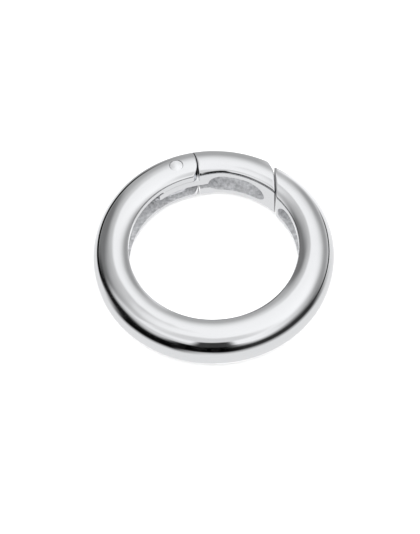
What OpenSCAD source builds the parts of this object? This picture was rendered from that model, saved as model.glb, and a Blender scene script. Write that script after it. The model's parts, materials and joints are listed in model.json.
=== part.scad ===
// Sprung gate ring: a round snap clasp for keys.
// A cast C-shaped ring with a recessed inner face, a gate that swings inwards
// on a pin between two ears, and a torsion spring on the pin that shuts it.
// Millimetres. Z is the axis of the ring; the gate is towards +Y, its pin
// on the -X side and its catch on the +X side.

/* [Ring] */
// Inner diameter of the eye, at the flat inner wall
eye_d = 25; // [22:0.5:40]
// Thickness of the band, across the ring
band_w = 5.3; // [4.4:0.1:6.4]
// Height of the band, along the ring's axis
band_h = 6.4; // [5.3:0.1:7.7]
// Distance from the inner wall to the highest part of the dome
dome_inset = 2.15; // [1.8:0.05:2.4]
// Squareness of the domed section, where 2 is an ellipse
squareness = 2.4; // [2:0.1:3]

/* [Recess] */
// Height of the channel in the inner face
recess_h = 3.5; // [2.9:0.1:4.2]
// Depth of the channel from the inner wall
recess_depth = 2.5; // [2:0.1:2.8]
// Corner radius at the bottom of the channel
recess_corner = 0.9; // [0.4:0.1:1.2]
// Angle at which the channel ends beside the catch
recess_end_deg = 39; // [20:1:41]

/* [Gate] */
// Angle of the seam between the ears and the gate
hinge_seam_deg = 98.5; // [95:0.5:105]
// Angle at which the catch face crosses the middle of the band
catch_deg = 51.6; // [48:0.2:56]
// How far the gate's inner wall stands back from the eye
gate_step = 0.45; // [0.2:0.05:0.8]
// Gap between the ears and the gate
hinge_gap = 0.15; // [0.1:0.01:0.3]
// Gap between the catch face and the gate
catch_gap = 0.22; // [0.15:0.01:0.4]
// Depth of the notch in the gate's outer corner, from the outer surface
notch_depth = 0.95; // [0.5:0.05:1.5]
// Slope of the notch
notch_deg = 32.5; // [20:0.5:50]
// Angle of the pocket's end beside the hinge
pocket_start_deg = 92.3; // [90:0.1:94]
// Angle of the pocket's end beside the catch
pocket_end_deg = 53; // [52:0.5:60]

/* [Hinge] */
// Radius of the ears about the pin
knuckle_r = 3.1; // [2.55:0.05:3.75]
// Wall left outside the hinge slot, at the band's middle
hinge_wall = 1; // [0.8:0.05:1.2]
// Diameter of the pin
pin_d = 2; // [1.6:0.1:2.4]
// Clearance between the pin and the gate, on the radius
pin_clear = 0.05; // [0.02:0.01:0.08]
// Wall of the gate's hub about the pin
hub_wall = 0.7; // [0.55:0.05:0.85]
// Thickness of the upper ear
upper_ear = 1.75; // [1.5:0.05:2.1]
// Thickness of the lower ear
lower_ear = 1.25; // [1.05:0.05:1.5]
// Thickness of the gate's tongue
tongue_t = 1.25; // [1.05:0.05:1.5]
// Angle that the gate's heel runs past the pin
heel_deg = 18; // [15:0.5:21]
// Thickness of the heel, across the ring
heel_w = 0.8; // [0.6:0.05:1]
// Gap between the walls of the slot and what lies in it
fit_gap = 0.1; // [0.06:0.01:0.14]

/* [Spring] */
// Diameter of the wire
wire_d = 0.4; // [0.33:0.01:0.48]
// Play between the coil and the pin, on the radius
coil_play = 0.27; // [0.15:0.01:0.3]
// Length of the leg that lies in the slot
slot_leg = 4.2; // [3.4:0.1:4.3]
// Length of the leg that pushes the gate
gate_leg = 5.2; // [4.2:0.1:5.5]

/* [Hidden] */
eye_r = eye_d / 2;
outer_r = eye_r + band_w;
half_h = band_h / 2;
dome_r = eye_r + dome_inset;
dome_a = outer_r - dome_r;
dome_steps = 36;

// Small step that keeps the faces of two cuts apart
cut_step = 0.03;
// How far a cut runs past the wall that it opens
cut_over = 1;
// Spacing of the spring's turns, in wire diameters
turn_pitch = 1.06;

pin_r = pin_d / 2;
hub_r = pin_r + pin_clear + hub_wall;
slot_out_r = outer_r - hinge_wall;
pin_rho = slot_out_r - fit_gap - hub_r;
knuckle_x = sqrt(pin_rho * pin_rho - knuckle_r * knuckle_r);
pin_deg = hinge_seam_deg + asin(knuckle_r / pin_rho);
pin_at = [pin_rho * cos(pin_deg), pin_rho * sin(pin_deg)];

slot_top = half_h - upper_ear;
slot_low = lower_ear - half_h;
tongue_top = slot_top - fit_gap;
tongue_low = tongue_top - tongue_t;
heel_end_deg = pin_deg + heel_deg;
// How far round the ring the tongue runs into the gate, and past the pin
root_deg = 4;
// Straight distance from the pin to the tip of the heel
heel_reach = sqrt(eye_r * eye_r + pin_rho * pin_rho
                  - 2 * eye_r * pin_rho * cos(heel_deg));
slot_r = heel_reach + 2 * fit_gap;

catch_x = (eye_r + band_w / 2) * cos(catch_deg);
gate_x = catch_x - catch_gap;
notch_rho = outer_r - notch_depth;
notch_y = sqrt(notch_rho * notch_rho - gate_x * gate_x);
gate_wall_r = eye_r + gate_step;
pocket_floor_r = eye_r + recess_depth;
pocket_r = recess_h / 2;
// Angle that a round end of the recess takes up
end_deg = asin(pocket_r / eye_r);
// How far the axis of a round end lies past the end of its channel
lap_deg = 1;
// How far the recess runs into the hinge slot
slot_lap_deg = 3;

coil_r = pin_r + coil_play + wire_d / 2;
coil_low = slot_low + fit_gap / 2 + wire_d / 2;
coil_top = tongue_low - fit_gap - wire_d / 2;
coil_turns = floor((coil_top - coil_low) / (wire_d * turn_pitch));
turn_steps = 28;
coil_steps = coil_turns * turn_steps;
wire_sides = 12;
// How far out and how far down the way in for the spring's leg reaches
leg_rho = pin_rho - coil_r;
leg_way_r = sqrt(leg_rho * leg_rho + gate_leg * gate_leg) + wire_d;
leg_way_low = coil_top - 1.5 * wire_d - fit_gap;

// Longer than anything here, for cuts that pass right through
reach = outer_r * 2;
$fn = 96;

// Signed power, for the domed section
function spow(v, p) = sign(v) * pow(abs(v), p);

// A point of the domed section, t degrees round from its outermost point
function dome(t) = [
    dome_r + dome_a * spow(cos(t), 2 / squareness),
    half_h * spow(sin(t), 2 / squareness)
];

// The angle at which a wall at radius r cuts the dome
function wall_deg(r) = acos(-pow((dome_r - r) / dome_a, squareness / 2));

// Section of the band, cut flat by an inner wall at radius r
module band_section(r) {
    t = wall_deg(r);
    polygon([for (i = [0 : dome_steps]) dome(t * (2 * i / dome_steps - 1))]);
}

// Section of the channel in the inner face, with rounded bottom corners
module channel_section() {
    square_d = recess_depth - recess_corner;
    translate([eye_r - cut_over, -pocket_r])
        square([square_d + cut_over, recess_h]);
    translate([eye_r - cut_over, recess_corner - pocket_r])
        square([recess_depth + cut_over, recess_h - 2 * recess_corner]);
    for (side = [-1, 1])
        translate([eye_r + square_d, side * (pocket_r - recess_corner)])
            circle(r = recess_corner);
}

// A length of channel from angle a to angle b
module channel(a, b) {
    rotate([0, 0, a])
        rotate_extrude(angle = b - a)
            channel_section();
}

// A round end for a channel, square to the inner wall. It is a little
// smaller than the channel, so that their walls cross and don't just touch.
module channel_end(a) {
    rotate([0, 0, a])
        translate([eye_r - cut_over, 0, 0])
            rotate([0, 90, 0])
                cylinder(r = pocket_r - cut_step, h = recess_depth + cut_over - cut_step);
}

// Plan of all that lies within radius r between two angles
module slice(r, a, b) {
    intersection() {
        circle(r = r);
        polygon([[0, 0],
                 reach * [cos(a), sin(a)],
                 reach * [cos((a + b) / 2), sin((a + b) / 2)],
                 reach * [cos(b), sin(b)]]);
    }
}

// Plan of all that lies clockwise of the hinge seam, set back by gap
module past_seam(gap) {
    rotate(hinge_seam_deg)
        translate([0, -reach - gap])
            square([reach, reach]);
}

// Plan of the space between the ears and the catch face at x
module gate_plan(gap, x) {
    intersection() {
        past_seam(gap);
        translate([x - reach, 0])
            square([reach, reach]);
    }
}

// Plan of the round that lets the gate turn past the ears' inner corner
module knuckle_relief() {
    rotate(hinge_seam_deg)
        difference() {
            translate([eye_r - cut_over, -fit_gap])
                square([knuckle_x - eye_r + cut_over, knuckle_r + fit_gap]);
            translate([knuckle_x, knuckle_r])
                circle(r = knuckle_r);
        }
}

// A bar along the pin's axis, longer than the band is high
module pin_bar(r) {
    translate([pin_at[0], pin_at[1], -band_h])
        cylinder(r = r, h = 2 * band_h);
}

// The slot between the ears, for the gate's tongue and the spring
module hinge_slot() {
    translate([0, 0, slot_low])
        linear_extrude(slot_top - slot_low)
            intersection() {
                translate(pin_at)
                    circle(r = slot_r);
                circle(r = slot_out_r);
            }
}

// The cast ring with its ears, its catch face and the channel inside it
module ring_body() {
    color([0.78, 0.79, 0.81])
        difference() {
            rotate_extrude()
                band_section(eye_r);
            translate([0, 0, -band_h])
                linear_extrude(2 * band_h) {
                    gate_plan(0, catch_x);
                    knuckle_relief();
                }
            hinge_slot();
            channel(heel_end_deg - slot_lap_deg, 360 + recess_end_deg - end_deg - lap_deg);
            channel_end(recess_end_deg - end_deg);
            pin_bar(pin_r);
        }
}

// The gate's tongue, its hub about the pin and the heel beyond it
module tongue() {
    translate([0, 0, tongue_low])
        linear_extrude(tongue_t)
            difference() {
                union() {
                    slice(pin_rho + pin_r, hinge_seam_deg - root_deg, pin_deg - root_deg);
                    slice(pin_rho - pin_r / 2, hinge_seam_deg, pin_deg + root_deg);
                    slice(eye_r + heel_w, pin_deg, heel_end_deg);
                    translate(pin_at)
                        circle(r = hub_r);
                }
                circle(r = eye_r);
            }
}

// The way through the gate's end for the spring's leg, under the tongue
module leg_way() {
    translate([0, 0, leg_way_low])
        linear_extrude(tongue_low - leg_way_low)
            difference() {
                slice(leg_way_r, pocket_start_deg - 2 * end_deg,
                      hinge_seam_deg + root_deg);
                circle(r = eye_r - cut_over);
            }
}

// The swinging gate, with its pocket and the way in for the spring's leg
module gate() {
    color([0.8, 0.81, 0.83])
        difference() {
            union() {
                intersection() {
                    rotate_extrude()
                        band_section(gate_wall_r);
                    translate([0, 0, -band_h])
                        linear_extrude(2 * band_h)
                            difference() {
                                gate_plan(hinge_gap, gate_x);
                                translate([gate_x, notch_y])
                                    rotate(notch_deg)
                                        square([band_w, 2 * band_w]);
                            }
                }
                tongue();
            }
            channel(pocket_end_deg + end_deg + lap_deg, pocket_start_deg - end_deg - lap_deg);
            channel_end(pocket_end_deg + end_deg);
            channel_end(pocket_start_deg - end_deg);
            leg_way();
            pin_bar(pin_r + pin_clear);
        }
}

// The pin, pressed in both ears, with its ends polished flush with the dome
module hinge_pin() {
    color([0.7, 0.71, 0.73])
        intersection() {
            rotate_extrude()
                band_section(eye_r);
            pin_bar(pin_r);
        }
}

// The wire's middle at step i: the slot leg, the coil, then the gate leg,
// seen with the pin at the origin and the eye towards -Y
function wire_at(i) =
    i == 0 ? [-slot_leg, -coil_r, coil_low]
    : i > coil_steps + 1 ? [gate_leg, -coil_r, coil_top]
    : let (t = (i - 1) / coil_steps, a = 360 * coil_turns * t - 90)
      [coil_r * cos(a), coil_r * sin(a), coil_low + (coil_top - coil_low) * t];

// Direction across the wire at step i, level and square to its run
function wire_side(i) =
    i == 0 || i > coil_steps + 1 ? [0, -1]
    : let (a = 360 * coil_turns * (i - 1) / coil_steps - 90) [cos(a), sin(a)];

// A point on the wire's surface, at step i and side k
function wire_skin(i, k) =
    let (c = wire_at(i), s = wire_side(i), a = 360 * k / wire_sides)
    c + wire_d / 2 * [s[0] * cos(a), s[1] * cos(a), sin(a)];

// The torsion spring round the pin, under the gate's tongue
module torsion_spring() {
    last = coil_steps + 2;
    skin = [for (i = [0 : last], k = [0 : wire_sides - 1]) wire_skin(i, k)];
    walls = [for (i = [0 : last - 1], k = [0 : wire_sides - 1], half = [0, 1])
        let (p = i * wire_sides + k,
             q = i * wire_sides + (k + 1) % wire_sides,
             n = wire_sides)
        half == 0 ? [p, q, q + n] : [p, q + n, p + n]];
    start = [for (k = [0 : wire_sides - 1]) wire_sides - 1 - k];
    finish = [for (k = [0 : wire_sides - 1]) last * wire_sides + k];
    color([0.6, 0.61, 0.63])
        translate([pin_at[0], pin_at[1], 0])
            rotate([0, 0, pin_deg - 90])
                polyhedron(skin, concat([start], walls, [finish]));
}

ring_body();
gate();
hinge_pin();
torsion_spring();
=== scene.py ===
import json
import math

import bmesh
import bpy
import numpy as np
from mathutils import Matrix, Vector


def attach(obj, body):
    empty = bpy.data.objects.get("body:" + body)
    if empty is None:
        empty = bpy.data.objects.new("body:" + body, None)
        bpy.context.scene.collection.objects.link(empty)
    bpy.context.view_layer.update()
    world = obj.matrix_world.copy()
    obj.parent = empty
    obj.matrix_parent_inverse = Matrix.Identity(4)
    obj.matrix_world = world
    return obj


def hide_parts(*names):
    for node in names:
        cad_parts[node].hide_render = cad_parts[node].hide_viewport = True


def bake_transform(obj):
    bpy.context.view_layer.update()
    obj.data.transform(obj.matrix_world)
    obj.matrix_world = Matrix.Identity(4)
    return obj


# A sprung gate ring: a polished cast ring, a gate on a pin, and the spring
# that shuts it. Every piece is worked in millimetres and brought to metres
# when it is finished.

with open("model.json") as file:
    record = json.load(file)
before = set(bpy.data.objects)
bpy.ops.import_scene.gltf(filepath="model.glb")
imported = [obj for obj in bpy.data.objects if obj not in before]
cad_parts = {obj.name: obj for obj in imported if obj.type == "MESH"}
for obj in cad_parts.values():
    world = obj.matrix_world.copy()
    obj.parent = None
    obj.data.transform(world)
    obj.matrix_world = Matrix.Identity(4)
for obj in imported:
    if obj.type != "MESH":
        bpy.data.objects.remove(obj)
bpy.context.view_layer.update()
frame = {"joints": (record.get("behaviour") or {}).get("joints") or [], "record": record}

MM = 0.001

# ---------------------------------------------------------------- sizes, mm

# the domed band
OUTER_R = frame["record"]["size"]["bbox_m"][1] / 2 / MM
EYE_R = frame["record"]["mounts"][0]["dims"]["r_mm"]
HALF_H = frame["record"]["size"]["bbox_m"][2] / 2 / MM
DOME_R = EYE_R + 2.15
DOME_A = OUTER_R - DOME_R
SQUARENESS = 2.4
RING_EDGE = 0.38
RING_SECTIONS = 318

# the pin, with heads dressed almost flat across the ears
PIN_AT = Vector(frame["joints"][0]["pos_m"]) / MM
PIN_RHO = PIN_AT.xy.length
PIN_DEG = math.degrees(math.atan2(PIN_AT.y, PIN_AT.x))
PIN_R = 1.0
PIN_PLAY = 0.05
PIN_HOLE_R = PIN_R + 0.03
HEAD_Z = 3.12
HEAD_FALL = 0.06
HEAD_ROUND = 0.06
HUB_R = PIN_R + PIN_PLAY + 0.7

# the seam beside the ears, and the knuckle that rounds them about the pin
SEAM_DEG = 98.5
SEAM_GAP = 0.07
SEAM_BOW_R = 9.3
SEAM_RIM = 0.12
KNUCKLE_X = PIN_RHO * math.cos(math.radians(PIN_DEG - SEAM_DEG))
# where the painted seam shade begins on the ends beside the ears
SEAM_SHADE_FROM = KNUCKLE_X - 0.5
EAR_LEAN_DEG = 22

# the seam at the catch, and the corners that fall away beside it
CATCH_DEG = 51.6
CATCH_X = (EYE_R + OUTER_R) / 2 * math.cos(math.radians(CATCH_DEG))
CATCH_LEAN_DEG = 36.6
CATCH_RIM = 0.24
TIP_FALL = 0.5
TIP_FALL_DEG = 30
GATE_X = CATCH_X - 0.1
CORNER_RHO = OUTER_R - 2.7
CORNER_TURN = 4.9
CORNER_POWER = 1.5

# the gate
GATE_WALL_R = EYE_R + 0.36
GATE_EDGE = 0.64
GATE_RIM = 0.14
GATE_SECTIONS = 60
GATE_LEAN_DEG = 15
WALL_MEETS_DEG = (80, 98)

# the slot between the ears, and the tongue in it
FIT_GAP = 0.1
SLOT_TOP = HALF_H - 1.75
SLOT_LOW = 1.25 - HALF_H
SLOT_OUT_R = PIN_RHO + HUB_R + FIT_GAP
TONGUE_TOP = SLOT_TOP - FIT_GAP
TONGUE_LOW = TONGUE_TOP - 1.25
TONGUE_SINK = 0.03
TONGUE_FROM_DEG = 91.5
HEEL_DEG = PIN_DEG + 18
HEEL_W = 0.55
NECK_DEG = 8

# the recess in the ring, and the pocket in the gate: a tip is
# (degrees above it, degrees below it, its height)
RECESS_HALF = 1.75
RECESS_FLOOR_R = EYE_R + 2.5
RECESS_CORNER = 0.9
RECESS_DEG = (HEEL_DEG - 3, 399)
RECESS_TIP = (13, 3, -0.8)
POCKET_DEG = (53.0, 92.3)
POCKET_START_TIP = (14, 6, -0.5)
POCKET_END_TIP = (9, 8, 0.1)
TIP_LEAN_DEG = 16
CUT_PAST = 1

# the spring, and its way into the pocket
WIRE_R = 0.2
COIL_R = PIN_R + 0.27 + WIRE_R
COIL_LOW = SLOT_LOW + FIT_GAP / 2 + WIRE_R
COIL_TOP = TONGUE_LOW - FIT_GAP - WIRE_R
TURN_PITCH = 1.06 * 2 * WIRE_R
COIL_TURNS = math.floor((COIL_TOP - COIL_LOW) / TURN_PITCH)
SLOT_LEG = 4.2
GATE_LEG = 5.2
LEG_WAY_R = 14.85
LEG_WAY_LOW = -0.9
LEG_WAY_DEG = (POCKET_DEG[1] - 16, SEAM_DEG + 4)

# ------------------------------------------------------------ small helpers


def only(obj):
    """Selects obj alone and makes it active."""
    bpy.ops.object.select_all(action="DESELECT")
    obj.select_set(True)
    bpy.context.view_layer.objects.active = obj


def named(name):
    """Names the object that was just added, and its mesh."""
    obj = bpy.context.object
    obj.name = obj.data.name = name
    bpy.ops.object.transform_apply(location=True, rotation=True, scale=True)
    return obj


def modify(obj, kind, **settings):
    """Adds one modifier with its settings and applies it."""
    only(obj)
    mod = obj.modifiers.new(kind, kind)
    for key, value in settings.items():
        setattr(mod, key, value)
    bpy.ops.object.modifier_apply(modifier=mod.name)


def combine(obj, other, how):
    """Cuts, joins or crosses obj with other, and uses other up."""
    exact = {"solver": "EXACT", "material_mode": "TRANSFER"}
    modify(obj, "BOOLEAN", object=other, operation=how, **exact)
    bpy.data.objects.remove(other)


def mesh_edit(obj):
    """Opens obj in edit mode, by edges, with nothing selected."""
    only(obj)
    bpy.ops.object.mode_set(mode="EDIT")
    bpy.ops.mesh.select_mode(type="EDGE")
    bpy.ops.mesh.select_all(action="DESELECT")
    return bmesh.from_edit_mesh(obj.data)


def close_edit(obj):
    bmesh.update_edit_mesh(obj.data)
    bpy.ops.object.mode_set(mode="OBJECT")


def plan_deg(p):
    """Angle of a point round the ring, from 0 to 360 degrees."""
    return math.degrees(math.atan2(p[1], p[0])) % 360


def polar(rho, deg):
    a = math.radians(deg)
    return (rho * math.cos(a), rho * math.sin(a))


def smooth_step(t):
    t = min(max(t, 0.0), 1.0)
    return t * t * (3 - 2 * t)


def past_end(p, deg):
    """Degrees that a point lies past an angle, from -180 to 180."""
    return (plan_deg(p) - deg + 180) % 360 - 180


def outward(obj):
    """Turns a closed shell's faces outwards."""
    only(obj)
    bpy.ops.object.mode_set(mode="EDIT")
    bpy.ops.mesh.select_all(action="SELECT")
    bpy.ops.mesh.remove_doubles(threshold=0.0005)
    bpy.ops.mesh.normals_make_consistent(inside=False)
    bpy.ops.object.mode_set(mode="OBJECT")


def finish_piece(obj, sharp_deg=32):
    """Closes doubles, turns the faces out, smooths, and brings the mesh to metres."""
    only(obj)
    bpy.ops.object.mode_set(mode="EDIT")
    bpy.ops.mesh.select_all(action="SELECT")
    bpy.ops.mesh.remove_doubles(threshold=0.002)
    bpy.ops.mesh.dissolve_degenerate(threshold=0.002)
    bpy.ops.mesh.select_all(action="SELECT")
    bpy.ops.mesh.normals_make_consistent(inside=False)
    bpy.ops.object.mode_set(mode="OBJECT")
    obj.data.transform(Matrix.Scale(MM, 4))
    bpy.ops.object.shade_smooth_by_angle(angle=math.radians(sharp_deg))
    return obj


# ------------------------------------------------------------ band sections


def dome(t):
    """A point of the domed section, t radians round from its outermost point."""
    c, s = math.cos(t), math.sin(t)
    return Vector(
        (
            DOME_R + DOME_A * math.copysign(abs(c) ** (2 / SQUARENESS), c),
            HALF_H * math.copysign(abs(s) ** (2 / SQUARENESS), s),
        )
    )


def dome_normal(t):
    p = dome(t)
    a, b = (p.x - DOME_R) / DOME_A, p.y / HALF_H
    n = Vector(
        (
            math.copysign(abs(a) ** (SQUARENESS - 1), a) / DOME_A,
            math.copysign(abs(b) ** (SQUARENESS - 1), b) / HALF_H,
        )
    )
    return n.normalized()


def band_outline(wall_r, edge_r, inset=0.0, dome_points=96, edge_points=6):
    """The domed section, flat at wall_r, its edges rounded to edge_r, all drawn in by inset."""
    edge_r = max(edge_r - inset, 0.01)
    low, high = math.pi / 2, math.pi
    for _ in range(40):  # where a circle of edge_r touches both dome and wall
        mid = (low + high) / 2
        if (dome(mid) - (inset + edge_r) * dome_normal(mid)).x > wall_r + inset + edge_r:
            low = mid
        else:
            high = mid
    top = (low + high) / 2
    turns = [top * (2 * (i + 0.5) / dome_points - 1) for i in range(dome_points)]
    arc = [dome(t) - inset * dome_normal(t) for t in turns]
    centre = dome(top) - (inset + edge_r) * dome_normal(top)
    start = math.atan2(dome_normal(top).y, dome_normal(top).x)
    turn = math.pi - start
    upper = [
        centre + edge_r * Vector((math.cos(a), math.sin(a)))
        for a in (start + turn * i / edge_points for i in range(edge_points + 1))
    ]
    lower = [Vector((p.x, -p.y)) for p in reversed(upper)]
    return arc + upper + lower


def channel_outline(half_h, floor_r, corner_r, corner_points=6):
    """A channel's section, square at the eye and rounded at its floor."""
    open_r = EYE_R - CUT_PAST
    side = [Vector((open_r, half_h))]
    for i in range(corner_points + 1):
        a = math.pi / 2 * (1 - i / corner_points)
        side.append(
            Vector(
                (
                    floor_r - corner_r + corner_r * math.cos(a),
                    half_h - corner_r + corner_r * math.sin(a),
                )
            )
        )
    rows = [p.y for p in side[1:]] + [0.6 * (half_h - corner_r), 0.2 * (half_h - corner_r)]
    side += [Vector((floor_r, z)) for z in rows[-2:]]
    back = [Vector((open_r, z)) for z in rows[1:]]
    upper = list(reversed(side)) + back
    lower = [Vector((p.x, -p.y)) for p in reversed(upper)]
    return upper + lower


def spun(name, outline, start_deg, end_deg, steps):
    """Spins a section round the ring's axis from one angle to another, open at both ends."""
    bpy.ops.object.select_all(action="DESELECT")
    bpy.ops.mesh.primitive_circle_add(vertices=len(outline), radius=1)
    obj = named(name)
    turn = Matrix.Rotation(math.radians(start_deg), 4, "Z")
    for vertex, point in zip(obj.data.vertices, outline):
        vertex.co = turn @ Vector((point.x, 0, point.y))
    only(obj)
    bpy.ops.object.mode_set(mode="EDIT")
    bpy.ops.mesh.select_all(action="SELECT")
    bpy.ops.mesh.spin(
        steps=steps,
        angle=math.radians(end_deg - start_deg),
        center=(0, 0, 0),
        axis=(0, 0, -1),
    )
    bpy.ops.object.mode_set(mode="OBJECT")
    return obj


def lean(obj, from_deg, end_deg, end_shape):
    """Swings the sections between two angles until the last lies in its end shape.

    end_shape gives, for a vertex, how many degrees its end lies past end_deg."""
    for vertex in obj.data.vertices:
        t = past_end(vertex.co, from_deg) / past_end(polar(1, end_deg), from_deg)
        if 0 < t < 1.01:
            turn = math.radians(end_shape(vertex.co) * t)
            vertex.co = Matrix.Rotation(turn, 3, "Z") @ vertex.co


def shape_band(obj, band, step, ends, wall_at=None):
    """Gives a spun band its end faces, their round rims and a wall that may change along it.

    band holds the inner wall's radius and the edge radius, and step is the sections'
    spacing. Each end is (where it starts to lean, its angle, its end shape, its rim's
    radius). wall_at gives the inner wall's radius at an angle."""
    wall_r, edge_r = band
    outline = np.array(band_outline(*band))
    rim_rows = 4
    known = {}

    def section(wall, inset):
        key = (round(wall, 4), round(inset, 4))
        if key not in known:
            known[key] = band_outline(wall, edge_r, inset)
        return known[key]

    for vertex in obj.data.vertices:
        x, y, z = vertex.co
        off = np.hypot(outline[:, 0] - math.hypot(x, y), outline[:, 1] - z)
        index = int(np.argmin(off))
        deg = plan_deg(vertex.co)
        wall = wall_at(deg) if wall_at else wall_r
        rho, z = section(wall, 0)[index]
        turn = 0.0
        for from_deg, end_deg, end_shape, round_r in ends:
            ahead = math.copysign(1, end_deg - from_deg)
            span = abs(end_deg - from_deg)
            back = -ahead * past_end(vertex.co, end_deg)
            if not -0.5 * step < back < span:
                continue
            row = min(round(back / step), rim_rows)
            swing = math.pi / 2 * row / rim_rows
            rho, z = section(wall, round_r * (1 - math.sin(swing)))[index]
            setback = ahead * math.degrees(round_r * (1 - math.cos(swing)) / rho)
            move = end_shape(Vector((rho, 0, z))) - setback + ahead * row * step
            fade = 1 if row < rim_rows else (span - back) / (span - rim_rows * step)
            turn = fade * move
        vertex.co = Vector((*polar(rho, deg + turn), z))


END_REACH_DEG = 22  # how far from its nominal angle an end may lie


def close_end(obj, near_deg, upright=True):
    """Bridges an open end with strips, upright or level."""
    bm = mesh_edit(obj)
    for edge in bm.edges:
        a, b = (v.co for v in edge.verts)
        if len(edge.link_faces) == 1 and abs(past_end((a + b) / 2, near_deg)) < END_REACH_DEG:
            crosses = a.z * b.z < 0 if upright else abs(a.z - b.z) < 1e-5 and abs(a.z) > 1e-5
            edge.select_set(not crosses)
    bm.select_flush_mode()
    bpy.ops.mesh.bridge_edge_loops()
    close_edit(obj)


# ---------------------------------------------------------------- end shapes


def catch_end(p):
    """End shape of the catch face, a plane across the band."""
    return math.degrees(math.acos(CATCH_X / p.xy.length)) - CATCH_DEG


def seam_bow(rho):
    """How many degrees the seam bows back over the ears, outside the pin's side."""
    out = max(rho - KNUCKLE_X, 0)
    return math.degrees(out * out / (2 * SEAM_BOW_R) / rho)


def ear_end(p):
    """End shape of the ears: the seam's plane, rounded about the pin towards the eye."""
    rho = p.xy.length
    if rho >= KNUCKLE_X:
        return seam_bow(rho)
    reach = (rho * rho + KNUCKLE_X * KNUCKLE_X) / (2 * rho)
    off = math.degrees(math.acos(min(reach / PIN_RHO, 1.0)))
    return PIN_DEG - SEAM_DEG - off


def hinge_end(p):
    """End shape of the gate beside the ears, one gap away from the seam."""
    rho = p.xy.length
    return seam_bow(rho) - math.degrees(math.asin(SEAM_GAP / rho))


def gate_end(p):
    """End shape of the gate beside the catch, with its outer corner rounded back."""
    rho = p.xy.length
    past = max(rho - CORNER_RHO, 0) / (OUTER_R - CORNER_RHO)
    return math.degrees(math.acos(GATE_X / rho)) + CORNER_TURN * past**CORNER_POWER - CATCH_DEG


def gate_wall(deg):
    """Inner wall of the gate, which meets the eye's radius beside the hinge."""
    start, end = WALL_MEETS_DEG
    return GATE_WALL_R - (GATE_WALL_R - EYE_R) * smooth_step((deg - start) / (end - start))


def round_end(side, above_deg, below_deg, tip_z):
    """End shape of a channel that runs out to a rounded tip at height tip_z."""

    def shape(p):
        above = p.z > tip_z
        reach = above_deg if above else below_deg
        half = RECESS_HALF - tip_z if above else RECESS_HALF + tip_z
        rise = min(abs(p.z - tip_z) / half, 1.0)
        return side * reach * (1 - math.sqrt(1 - rise * rise))

    return shape


# ---------------------------------------------------------- cutters and bars


def channel_cut(name, start_deg, end_deg, cast, end_tip, start_tip=None):
    """A cutter for a length of channel, with a rounded tip at one end or at both."""
    outline = channel_outline(RECESS_HALF, RECESS_FLOOR_R, RECESS_CORNER)
    cutter = spun(name, outline, start_deg, end_deg, round(end_deg - start_deg) + 1)
    lean(cutter, end_deg - TIP_LEAN_DEG, end_deg, round_end(-1, *end_tip))
    if start_tip:
        lean(cutter, start_deg + TIP_LEAN_DEG, start_deg, round_end(1, *start_tip))
    for place in (start_deg, end_deg):
        close_end(cutter, place, upright=False)
    cutter.data.materials.append(cast)
    outward(cutter)
    return cutter


def post(name, radius, low, high, material, at=PIN_AT, sides=96):
    """An upright round bar about the pin, or about another place."""
    bpy.ops.object.select_all(action="DESELECT")
    bpy.ops.mesh.primitive_cylinder_add(
        vertices=sides, radius=radius, depth=high - low, location=(at[0], at[1], (low + high) / 2)
    )
    obj = named(name)
    obj.data.materials.append(material)
    return obj


def plan_bar(name, outline, low, high, material):
    """An upright bar with the given plan, which must be convex or a gently curved strip."""
    bpy.ops.object.select_all(action="DESELECT")
    bpy.ops.mesh.primitive_circle_add(vertices=len(outline), radius=1)
    bar = named(name)
    for vertex, point in zip(bar.data.vertices, outline):
        vertex.co = Vector((point[0], point[1], low))
    only(bar)
    bpy.ops.object.mode_set(mode="EDIT")
    bpy.ops.mesh.select_all(action="SELECT")
    bpy.ops.mesh.edge_face_add()
    bpy.ops.mesh.extrude_region_move(TRANSFORM_OT_translate={"value": (0, 0, high - low)})
    bpy.ops.object.mode_set(mode="OBJECT")
    bar.data.materials.append(material)
    outward(bar)
    return bar


def curved_bar(name, inner, outer, start_deg, end_deg, low, high, material):
    """A strip round the ring; inner and outer give its radii at an angle."""
    count = 36
    angles = [start_deg + (end_deg - start_deg) * i / count for i in range(count + 1)]
    outline = [polar(outer(a), a) for a in angles]
    outline += [polar(inner(a), a) for a in reversed(angles)]
    return plan_bar(name, outline, low, high, material)


def hinge_slot(cast):
    """The space between the ears: clear of the heel's reach, and inside the outer wall."""
    turn = math.radians(HEEL_DEG - PIN_DEG)
    reach = math.sqrt(EYE_R**2 + PIN_RHO**2 - 2 * EYE_R * PIN_RHO * math.cos(turn))
    slot = post("slot", reach + 2 * FIT_GAP, SLOT_LOW, SLOT_TOP, cast, sides=128)
    low, high = SLOT_LOW - CUT_PAST, SLOT_TOP + CUT_PAST
    inside = post("slot_wall", SLOT_OUT_R, low, high, cast, at=(0, 0), sides=360)
    combine(slot, inside, "INTERSECT")
    return slot


# ------------------------------------------------------------------- pieces


ACROSS = 0.72  # how squarely a face of an end lies across the band
FACE_REACH_DEG = 10


def darken_end(obj, deg, dark, from_rho, to_rho):
    """Paints shade onto the faces of an end inside a narrow seam, between two radii, by giving them
    the dark material.
    """
    if dark.name not in obj.data.materials:
        obj.data.materials.append(dark)
    index = obj.data.materials.find(dark.name)
    for face in obj.data.polygons:
        spot = face.center
        along = Vector((-spot.y, spot.x, 0)).normalized()
        facing = abs(face.normal.dot(along)) > ACROSS
        at_end = abs(past_end(spot, deg)) < FACE_REACH_DEG
        if facing and at_end and from_rho < spot.xy.length < to_rho:
            face.material_index = index


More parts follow.
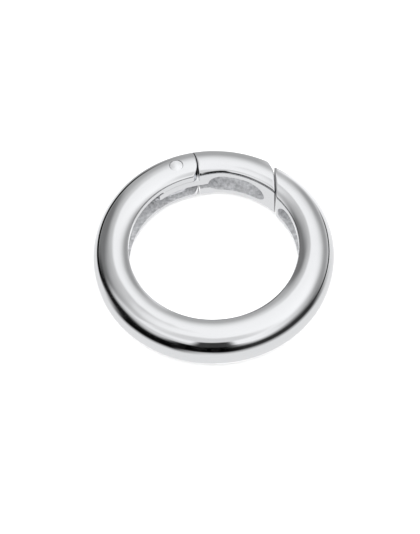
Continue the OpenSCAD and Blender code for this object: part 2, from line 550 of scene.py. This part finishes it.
def cast_ring(chrome, cast, dark):
    """The C-shaped casting with its ears, channel, slot and pin holes."""
    band = (EYE_R, RING_EDGE)
    step = (360 + CATCH_DEG - SEAM_DEG) / RING_SECTIONS
    ring = spun("ring_casting", band_outline(*band), SEAM_DEG, 360 + CATCH_DEG, RING_SECTIONS)
    ends = (
        (SEAM_DEG + EAR_LEAN_DEG, SEAM_DEG, ear_end, SEAM_RIM),
        (CATCH_DEG - CATCH_LEAN_DEG, CATCH_DEG, catch_end, CATCH_RIM),
    )
    shape_band(ring, band, step, ends)
    for vertex in ring.data.vertices:  # the outer corner falls away towards the catch
        beside_catch = vertex.co.x > 0 and vertex.co.y > 0
        near = smooth_step(plan_deg(vertex.co) / TIP_FALL_DEG - 1) if beside_catch else 0
        outer = max(vertex.co.xy.length - DOME_R, 0) / DOME_A
        vertex.co.y -= TIP_FALL * near * outer
    close_end(ring, SEAM_DEG)
    close_end(ring, CATCH_DEG)
    ring.data.materials.append(chrome)
    outward(ring)
    # painted shade on the end faces in the seams at the ears and at the catch
    darken_end(ring, SEAM_DEG, dark, SEAM_SHADE_FROM, OUTER_R)
    darken_end(ring, CATCH_DEG, dark, 0, OUTER_R)
    recess = channel_cut("recess", *RECESS_DEG, cast, RECESS_TIP)
    combine(ring, recess, "DIFFERENCE")
    combine(ring, hinge_slot(cast), "DIFFERENCE")
    # the pin hole's wall takes the dark material: painted shade in the thin gap round the pin
    pin_hole = post("pin_hole", PIN_HOLE_R, -HALF_H - CUT_PAST, HALF_H + CUT_PAST, dark)
    combine(ring, pin_hole, "DIFFERENCE")
    return finish_piece(ring)


def tongue(chrome):
    """The tongue that runs from the gate into the slot: neck, hub and heel."""

    def inner(deg):
        """Just behind the gate's wall, and so almost flush with the eye."""
        return gate_wall(deg) + TONGUE_SINK

    def outer(deg):
        heel = EYE_R + HEEL_W
        neck = PIN_RHO + PIN_R if deg < PIN_DEG - NECK_DEG / 2 else PIN_RHO - PIN_R / 2
        return heel + (neck - heel) * smooth_step((PIN_DEG + NECK_DEG - deg) / NECK_DEG)

    spans = (TONGUE_FROM_DEG, HEEL_DEG, TONGUE_LOW, TONGUE_TOP)
    neck = curved_bar("neck", inner, outer, *spans, chrome)
    hub = post("hub", HUB_R, TONGUE_LOW, TONGUE_TOP, chrome)
    combine(neck, hub, "UNION")
    return neck


def sprung_gate(chrome, cast, dark):
    """The gate with its pocket, the way in for the spring's leg, and its tongue."""
    band = (GATE_WALL_R, GATE_EDGE)
    step = (SEAM_DEG - CATCH_DEG) / GATE_SECTIONS
    gate = spun("gate_casting", band_outline(*band), CATCH_DEG, SEAM_DEG, GATE_SECTIONS)
    middle = SEAM_DEG - GATE_LEAN_DEG
    ends = (middle, SEAM_DEG, hinge_end, SEAM_RIM), (middle, CATCH_DEG, gate_end, GATE_RIM)
    shape_band(gate, band, step, ends, gate_wall)
    close_end(gate, SEAM_DEG)
    close_end(gate, CATCH_DEG)
    gate.data.materials.append(chrome)
    outward(gate)
    # painted shade on the end faces in the seams beside the ears and at the catch
    darken_end(gate, SEAM_DEG, dark, SEAM_SHADE_FROM, OUTER_R)
    darken_end(gate, CATCH_DEG, dark, 0, CORNER_RHO)
    combine(gate, tongue(chrome), "UNION")
    pocket = channel_cut("pocket", *POCKET_DEG, cast, POCKET_END_TIP, POCKET_START_TIP)
    combine(gate, pocket, "DIFFERENCE")
    way_wall = (lambda deg: EYE_R - CUT_PAST, lambda deg: LEG_WAY_R)
    way = curved_bar("leg_way", *way_wall, *LEG_WAY_DEG, LEG_WAY_LOW, TONGUE_LOW, cast)
    combine(gate, way, "DIFFERENCE")
    bore = post("gate_bore", PIN_R + PIN_PLAY, -HALF_H, HALF_H, chrome)
    combine(gate, bore, "DIFFERENCE")
    return finish_piece(gate)


def riveted_pin(steel):
    """The pin, each head sloped with the dome and slightly rounded."""
    pin = post("hinge_pin_steel", PIN_R, -HEAD_Z, HEAD_Z, steel)
    out = PIN_AT.xy.normalized()
    for vertex in pin.data.vertices:
        fall = HEAD_FALL * (vertex.co.xy - PIN_AT.xy).dot(out)
        vertex.co.z -= math.copysign(fall, vertex.co.z)
    rim = {"limit_method": "ANGLE", "angle_limit": math.radians(50)}
    modify(pin, "BEVEL", width=HEAD_ROUND, segments=3, **rim)
    return finish_piece(pin)


def wound_spring(wire):
    """The torsion spring: a wire's section wound round the pin, then drawn out into two legs."""
    bpy.ops.object.select_all(action="DESELECT")
    bpy.ops.mesh.primitive_circle_add(vertices=16, radius=WIRE_R, rotation=(0, math.pi / 2, 0))
    spring = named("spring_wire")
    spring.data.transform(Matrix.Translation((0, -COIL_R, COIL_LOW)))
    pitch = (COIL_TOP - COIL_LOW) / COIL_TURNS
    modify(
        spring,
        "SCREW",
        axis="Z",
        angle=2 * math.pi,
        iterations=COIL_TURNS,
        screw_offset=pitch,
        steps=48,
        render_steps=48,
        use_merge_vertices=False,
    )
    for height, run in ((COIL_LOW, -SLOT_LEG), (COIL_TOP, GATE_LEG)):
        bm = mesh_edit(spring)
        for edge in bm.edges:
            if len(edge.link_faces) == 1:
                mid = (edge.verts[0].co + edge.verts[1].co) / 2
                edge.select_set(abs(mid.z - height) < 2 * WIRE_R and abs(mid.x) < WIRE_R)
        bm.select_flush_mode()
        bpy.ops.mesh.extrude_region_move(TRANSFORM_OT_translate={"value": (run, 0, 0)})
        bpy.ops.mesh.edge_face_add()
        bpy.ops.mesh.bevel(offset=WIRE_R * 0.3, segments=2, affect="EDGES")
        close_edit(spring)
    turn = Matrix.Rotation(math.radians(PIN_DEG - 90), 4, "Z")
    spring.data.transform(Matrix.Translation((PIN_AT.x, PIN_AT.y, 0)) @ turn)
    spring.data.materials.append(wire)
    return finish_piece(spring, 60)


# ---------------------------------------------------------------- materials


def linear(code):
    """An sRGB hex colour as a linear RGBA value."""
    parts = [int(code[i : i + 2], 16) / 255 for i in (1, 3, 5)]
    return [c / 12.92 if c <= 0.04045 else ((c + 0.055) / 1.055) ** 2.4 for c in parts] + [1.0]


def add(tree, kind, settings=(), links=(), **sockets):
    """Adds a node with its settings, its links and its fixed sockets."""
    node = tree.nodes.new(kind)
    for key, value in dict(settings).items():
        setattr(node, key, value)
    for key, value in sockets.items():
        node.inputs[key.replace("_", " ")].default_value = value
    for socket, source in dict(links).items():
        tree.links.new(source, node.inputs[socket])
    return node


def metal(name, colour, metallic, roughness):
    """A new material and its tree, its shader and its object coordinates."""
    material = bpy.data.materials.new(name)
    material.use_nodes = True
    tree = material.node_tree
    shader = tree.nodes["Principled BSDF"]
    shader.inputs["Base Color"].default_value = linear(colour)
    shader.inputs["Metallic"].default_value = metallic
    shader.inputs["Roughness"].default_value = roughness
    return material, tree, shader, add(tree, "ShaderNodeTexCoord").outputs["Object"]


def noise(tree, where, grain_mm, detail):
    """Noise whose largest grains are grain_mm across."""
    scale = 1 / (grain_mm * MM)
    return add(
        tree, "ShaderNodeTexNoise", links={"Vector": where}, Scale=scale, Detail=detail
    ).outputs["Fac"]


def plated_chrome(name):
    """Polished chrome plate: clear dark and light reflections with faint handling wear."""
    material, tree, shader, where = metal(name, "#F2F3F5", 1.0, 0.05)
    wear = add(tree, "ShaderNodeMapRange", links={"Value": noise(tree, where, 1.2, 6.0)})
    spread = {"From Min": 0.35, "From Max": 0.75, "To Min": 0.03, "To Max": 0.1}
    for socket, value in spread.items():
        wear.inputs[socket].default_value = value
    tree.links.new(wear.outputs["Result"], shader.inputs["Roughness"])
    ripple = add(
        tree,
        "ShaderNodeBump",
        links={"Height": noise(tree, where, 5.0, 1.0)},
        Strength=0.35,
        Distance=0.00012,
    )
    tree.links.new(ripple.outputs["Normal"], shader.inputs["Normal"])
    return material


def as_cast(name):
    """Thinly plated zinc as it left the mould: a pale, mottled, grainy grey."""
    material, tree, shader, where = metal(name, "#A9AAAE", 0.12, 0.6)
    grain = noise(tree, where, 0.5, 5.0)
    mottle = add(tree, "ShaderNodeMix", {"data_type": "RGBA"}, {"Factor": grain})
    mottle.inputs[6].default_value = linear("#5A5B5F")
    mottle.inputs[7].default_value = linear("#EEEFF1")
    tree.links.new(mottle.outputs[2], shader.inputs["Base Color"])
    bump = add(
        tree,
        "ShaderNodeBump",
        links={"Height": noise(tree, where, 0.35, 4.0)},
        Strength=0.9,
        Distance=0.0001,
    )
    tree.links.new(bump.outputs["Normal"], shader.inputs["Normal"])
    return material


def painted_seam_shade(name):
    """Painted shade for the faces inside the seams and round the pin: a dark grey that draws a thin
    dark line between pieces, where the narrow gaps fall into shade.
    """
    return metal(name, "#6A6B6F", 0.85, 0.42)[0]


def polished_steel(name):
    """Steel dressed flat with the plate: a touch brighter and finely brushed."""
    return metal(name, "#ECEDEF", 0.9, 0.16)[0]


def drawn_wire(name):
    """Bright drawn spring wire: a soft grey sheen along each turn."""
    return metal(name, "#D6D7DA", 0.25, 0.35)[0]


chrome = plated_chrome("plated_chrome")
cast = as_cast("as_cast_zinc")
# painted shade: a dark grey for the seam faces and the pin hole's wall, standing in for the shade
# of the narrow gaps
dark = painted_seam_shade("painted_seam_shade")
ring = cast_ring(chrome, cast, dark)
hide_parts("ring_body")
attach(ring, "ring")
gate = sprung_gate(chrome, cast, dark)
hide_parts("gate")
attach(gate, "gate")
pin = riveted_pin(polished_steel("polished_steel"))
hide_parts("hinge_pin")
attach(pin, "ring")
spring = wound_spring(drawn_wire("drawn_wire"))
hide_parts("torsion_spring")
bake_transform(spring)

# ------------------------------------------------------------------- studio

ELEVATION = math.radians(57.9)
CAMERA_M = 0.382
ROLL = math.radians(1.53)
SENSOR = 36.0
LENS = 174.63
SHIFT = (-0.00693, -0.0221)
FLOOR_M = 2

camera_data = bpy.data.cameras.new("camera")
camera = bpy.data.objects.new("camera", camera_data)
bpy.context.scene.collection.objects.link(camera)
back = Vector((0, -math.cos(ELEVATION), math.sin(ELEVATION)))
camera.location = back * CAMERA_M
aim = (-back).to_track_quat("-Z", "Y").to_matrix().to_4x4()
camera.rotation_euler = (aim @ Matrix.Rotation(-ROLL, 4, "Z")).to_euler()
camera_data.sensor_width = SENSOR
camera_data.lens = LENS
camera_data.shift_x, camera_data.shift_y = SHIFT
camera_data.clip_start, camera_data.clip_end = 0.01, 10
bpy.context.scene.camera = camera
bpy.context.scene.view_settings.view_transform = "Standard"

bpy.ops.object.select_all(action="DESELECT")
bpy.ops.mesh.primitive_plane_add(size=FLOOR_M, location=(0, 0, -HALF_H * MM))
floor = bpy.context.object
floor.name = "floor"
floor.visible_glossy = False
pale = bpy.data.materials.new("pale_floor")
pale.use_nodes = True
paint = pale.node_tree.nodes["Principled BSDF"]
paint.inputs["Base Color"].default_value = linear("#FFFFFF")
paint.inputs["Roughness"].default_value = 0.9
floor.data.materials.append(pale)


def studio():
    """Soft cards of light and dark round the ring, and a plain white light behind all else.

    A direction's azimuth is 0 at the front and grows towards +X, and its elevation is over
    the floor. Only reflections see the cards."""
    world = bpy.data.worlds.new("studio")
    bpy.context.scene.world = world
    world.use_nodes = True
    tree = world.node_tree
    tree.nodes.clear()
    where = add(tree, "ShaderNodeTexCoord")
    xyz = add(tree, "ShaderNodeSeparateXYZ", links={0: where.outputs["Generated"]})
    turn_y = add(tree, "ShaderNodeMath", {"operation": "MULTIPLY"}, {0: xyz.outputs["Y"]})
    turn_y.inputs[1].default_value = -1.0
    sides = {0: xyz.outputs["X"], 1: turn_y.outputs[0]}
    azimuth = add(tree, "ShaderNodeMath", {"operation": "ARCTAN2"}, sides).outputs[0]
    height = add(tree, "ShaderNodeMath", {"operation": "ARCSINE"}, {0: xyz.outputs["Z"]}).outputs[0]

    def ramp(source, low, high):
        soft = {"interpolation_type": "SMOOTHSTEP"}
        node = add(tree, "ShaderNodeMapRange", soft, {"Value": source})
        node.inputs["From Min"].default_value = math.radians(low)
        node.inputs["From Max"].default_value = math.radians(high)
        return node.outputs["Result"]

    def times(a, b):
        return add(tree, "ShaderNodeMath", {"operation": "MULTIPLY"}, {0: a, 1: b}).outputs[0]

    def card(under, level, az, el, soft_az, soft_el):
        """Lays a card of one brightness over what is under it, between angles in degrees."""
        mask = times(
            ramp(azimuth, az[0] - soft_az, az[0] + soft_az),
            ramp(azimuth, az[1] + soft_az, az[1] - soft_az),
        )
        mask = times(mask, ramp(height, el[0] - soft_el, el[0] + soft_el))
        mask = times(mask, ramp(height, el[1] + soft_el, el[1] - soft_el))
        mix = add(tree, "ShaderNodeMix", {"data_type": "FLOAT"}, {"Factor": mask, 2: under})
        mix.inputs[3].default_value = level
        return mix.outputs[0]

    # the sky brightens towards +X
    lit = add(tree, "ShaderNodeMath", {"operation": "MULTIPLY_ADD"}, {0: xyz.outputs["X"]})
    lit.inputs[1].default_value = 0.14
    lit.inputs[2].default_value = 0.97
    look = lit.outputs[0]
    # floor sweep, brighter beyond the ring
    look = card(look, 0.80, (-220, 220), (-120, -7), 6, 3)
    look = card(look, 1.20, (144, 220), (-120, -7), 27, 14)
    look = card(look, 1.02, (-220, -136), (-120, -25), 10, 12)
    # grey walls at the left and the right
    look = card(look, 0.185, (-161, -98), (6, 60), 15, 9)
    look = card(look, 0.355, (50, 165), (8, 47), 15, 16)
    look = card(look, 0.66, (-92, -6), (6, 42), 4, 6)
    look = card(look, 0.90, (21, 74), (28, 49), 30, 16)
    # the wall behind the ring, met from both sides
    look = card(look, 0.42, (163, 220), (-31, 40), 6, 22)
    look = card(look, 0.42, (-220, -156), (-31, 40), 6, 22)
    # the dark edge of the table, all round the front
    look = card(look, 0.03, (65, 140), (-3, 7), 8, 3)
    look = card(look, 0.027, (-10, 98), (-20, 20), 22, 14)
    look = card(look, 0.003, (-88, -19), (-29, 20), 16, 12)
    look = card(look, 0.006, (-117, -63), (-7, 27), 14, 12)
    look = card(look, 0.0, (-165, -100), (-9, 8), 10, 3)
    look = card(look, 0.0, (-38, 19), (-13, 30), 12, 5)
    # a dark shape above it, and soft shade higher up
    look = card(look, 0.70, (-80, 60), (58, 84), 30, 7)
    look = card(look, 0.038, (-19, 15), (24, 58), 5, 4)
    look = card(look, 0.495, (-172, -79), (50, 64), 5, 13)
    shade = add(tree, "ShaderNodeBackground", links={"Color": look})
    plain = add(tree, "ShaderNodeBackground", Color=(1, 1, 1, 1), Strength=2.2)
    path = add(tree, "ShaderNodeLightPath")
    mirror = path.outputs["Is Glossy Ray"]
    either = {0: mirror, 1: plain.outputs[0], 2: shade.outputs[0]}
    pick = add(tree, "ShaderNodeMixShader", links=either)
    add(tree, "ShaderNodeOutputWorld", links={0: pick.outputs[0]})


studio()
